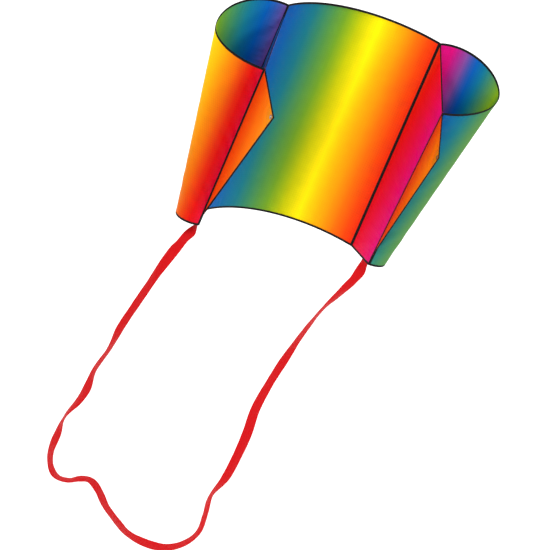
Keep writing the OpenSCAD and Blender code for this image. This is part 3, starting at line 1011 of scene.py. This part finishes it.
def filled(outline, hole_centre, hole_r, spacing):
    """Points and triangles that fill an outline round a hole, in the keel's plane."""
    ring = [
        hole_centre + hole_r * np.array([math.cos(a), math.sin(a)])
        for a in np.linspace(0, 2 * math.pi, 28, endpoint=False)
    ]
    border = []
    for a, b in zip(outline, np.roll(outline, -1, axis=0)):
        steps = max(1, round(float(np.linalg.norm(b - a)) / spacing))
        border += [a + (b - a) * k / steps for k in range(steps)]
    border = np.array(border)
    low, high = border.min(0), border.max(0)
    xs, ys = np.arange(low[0], high[0], spacing), np.arange(low[1], high[1], spacing * 0.87)
    inner = np.array([(x + spacing / 2 * (k % 2), y) for k, y in enumerate(ys) for x in xs])
    keep = inside(inner, outline, 0.45 * spacing)
    keep &= np.linalg.norm(inner - hole_centre, axis=1) > hole_r + 0.35 * spacing
    n, m = len(border), len(ring)
    points = np.vstack([border, ring, inner[keep]])
    edges = [(i, (i + 1) % n) for i in range(n)] + [(n + i, n + (i + 1) % m) for i in range(m)]
    coords, _, faces, *_ = geometry.delaunay_2d_cdt(
        [Vector(p) for p in points], edges, [], 0, 1e-7
    )
    coords = np.array([tuple(c) for c in coords])
    made = []
    for face in faces:
        a, b, c = coords[list(face)]
        centre = (a + b + c) / 3
        turn = (b - a)[0] * (c - a)[1] - (b - a)[1] * (c - a)[0]
        if abs(turn) < 1e-12 or np.linalg.norm(centre - hole_centre) < hole_r:
            continue
        if inside(centre[None], outline, 0)[0]:
            made.append(tuple(face) if turn > 0 else tuple(reversed(face)))
    return coords, made


def inside(points, outline, margin):
    """Whether points lie inside a convex outline, by at least the margin."""
    ok = np.ones(len(points), bool)
    sides = list(zip(outline, np.roll(outline, -1, axis=0)))
    area = sum(a[0] * b[1] - a[1] * b[0] for a, b in sides)
    for a, b in sides:
        way = unit(b - a)
        away = (points - a) @ np.array([-way[1], way[0]]) * math.copysign(1, area)
        ok &= away > margin
    return ok


def flat_normals(points, faces):
    """A normal at each point of a mesh of triangles, the mean of its faces' own."""
    made = np.zeros(points.shape)
    for a, b, c in faces:
        normal = np.cross(points[b] - points[a], points[c] - points[a])
        for i in (a, b, c):
            made[i] += normal
    return unit(made)


# How far into its print each keel reaches at its tip, and the hole under the eyelet's flange
PRINT_REACH = {"left": 1.0, "right": 0.85}
EYELET_HOLE = 3.2 * MM


def on_keel_cloth(name, flat):
    """The place on the keel's cloth and in its print of points in its plane."""
    return np.stack([flat[:, 1], flat[:, 0], flat[:, 1] / KEEL_TIP[1] * PRINT_REACH[name]], axis=1)


def keel_panel(name, side):
    """The keel's one triangle of cloth, cut to lie inside its tape."""
    top, foot = TUCK / KEEL_EDGES[0][1], KEEL_FOOT[0] + TUCK / KEEL_EDGES[1][1]
    outline = np.array([(top, 0), (foot, 0), KEEL_TIP + TUCK * KEEL_CORNER])
    flat, faces = filled(outline, KEEL_EYELET, EYELET_HOLE, 3.2 * MM)
    points = keel_point(flat, keel_bulge(flat))
    both, all_faces = shell(points, faces, flat_normals(points, faces), CLOTH)
    piece = Piece(side)
    piece.add(both, all_faces, np.tile(on_keel_cloth(name, flat), (2, 1)))
    made = piece.make(name + "_keel_cloth", keel_cloth)
    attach(made, name + "_keel")
    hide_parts(name + "_keel")
    return made


def keel_tape(name, side):
    """The tape folded over the keel's two free edges, mitred at its tip. Its ends are cut
    parallel to the keel seam, which leaves the keel room to swing."""
    piece = Piece(side)
    upper, lower = KEEL_EDGES
    start, end = KEEL_GAP / upper[1] * upper, KEEL_FOOT + KEEL_GAP / lower[1] * lower
    narrowest, mitre_length = 0.15, 0.5 * MM
    for first, last, inward in ((start, KEEL_TIP, KEEL_INWARD[0]), (KEEL_TIP, end, KEEL_INWARD[1])):
        line = first + np.linspace(0, 1, 60)[:, None] * (last - first)
        mitre = smoothstep(1 - np.linalg.norm(line - KEEL_TIP, axis=1) / mitre_length)[:, None]
        room = (line[:, 1] - KEEL_GAP) / (-inward[1] * KEEL_TAPE_WIDTH)
        way = np.clip(room, narrowest, 1)[:, None] * (inward + mitre * (KEEL_CORNER - inward))
        edge_tape(
            piece, keel_point(line + TAPE_HALF * inward), keel_point(way) - KEEL_TOP,
            np.tile(KEEL_NORMAL, (len(line), 1)), KEEL_TAPE_WIDTH - TAPE_HALF,
        )
    made = piece.make(name + "_keel_tape", tape, thread)
    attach(made, name + "_keel")
    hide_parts(name + "_keel_binding")
    return made


def tip_patch(name, side):
    """A patch on each face of the keel's tip, sewn down with two rows of stitches."""
    tip = KEEL_TIP + KEEL_CORNER * KEEL_TAPE_WIDTH
    upper, lower = KEEL_EDGES
    start, end = math.atan2(-upper[1], -upper[0]), math.atan2(lower[1], lower[0])

    def arc(radius, beyond, count):
        angles = np.linspace(start - beyond, end + beyond, count)
        return tip + radius * np.stack([np.cos(angles), np.sin(angles)], axis=1)

    outline = np.vstack([tip, arc(PATCH_R, 0, 24)])
    flat, faces = filled(outline, KEEL_EYELET, EYELET_HOLE, 3 * MM)
    cloth = np.tile(on_keel_cloth(name, flat), (2, 1))
    above = 0.22 * MM
    piece = Piece(side)
    for face in (1, -1):
        lift = face * PATCH_LIFT
        points = keel_point(flat, np.full(len(flat), lift))
        both, all_faces = shell(points, faces, np.tile(KEEL_NORMAL, (len(points), 1)), CLOTH)
        piece.add(both, all_faces, cloth)
        for inset in (STITCH_ROW, 2 * STITCH_ROW):
            curve = arc(PATCH_R - inset, 0.06, 40)
            row = keel_point(curve, np.full(len(curve), lift + face * above))
            stitches(piece, row, np.tile(face * KEEL_NORMAL, (len(row), 1)))
    made = piece.make(name + "_tip_patch", patch_cloth, orange_thread)
    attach(made, name + "_keel")
    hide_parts(name + "_keel_patch")
    return made


def keel(name, side):
    panel = keel_panel(name, side)
    keel_tape(name, side)
    tip_patch(name, side)
    eyelet = frame["nodes"][name + "_eyelet"].data
    eyelet.materials.clear()
    eyelet.materials.append(metal)


def tail_tab(name, side):
    """A short ribbon sewn up inside the tube, flat on its wall, that turns to meet the tail. Its
    end lies on the line about which the tail swings."""
    inside_wall = TAPE_HALF + 0.5 * MM
    on_wall = MAIN_BOTTOM + TAB_IN * np.append(WALL_DIR, 0) - inside_wall * WALL_NORMAL
    end = np.array(TAIL_ENDS[name][:3]) * MM
    foot = end * (side, 1, 1)
    hang = TRAILING - foot[2]
    t = np.concatenate([np.linspace(-TAB_SEWN / hang, 0, 10)[:-1], np.linspace(0, 1, 40)])
    ease = smoothstep(t)
    after = np.array(TAIL_NEXT[name][:3]) * MM * (side, 1, 1)
    slope = (after - foot) * hang / (foot[2] - after[2])
    down = np.clip(t, 0, 1)[:, None]
    centres = on_wall + ease[:, None] * (foot - on_wall) + (down ** 3 - down ** 2) * slope
    centres[:, 2] = TRAILING - t * hang
    wall_turn = math.atan2(WALL_DIR[1], WALL_DIR[0])
    turn = wall_turn + ease * ((-math.pi if side == LEFT else 0) - wall_turn)
    wide = np.stack([np.cos(turn), np.sin(turn), 0 * turn], axis=1)
    piece = Piece(side)
    ribbon(piece, centres, wide, np.linspace(-0.5, 0.5, 9))
    made = piece.make(name + "_tail_tab_ribbon", ribbon_red)
    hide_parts(name + "_tail_tab")
    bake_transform(made)


place_camera()
studio()
tail_ribbon()
sail()
for name, side in SIDES.items():
    main_seam(name, side)
    tube_skin(name, side)
    inner_wall(name, side)
    tube_edge(name, side, 0, "_mouth_binding", "_mouth_tape")
    tube_edge(name, side, 1, "_tube_end_binding", "_tube_end_tape")
    keel_seam(name, side)
    keel(name, side)
    tail_tab(name, side)
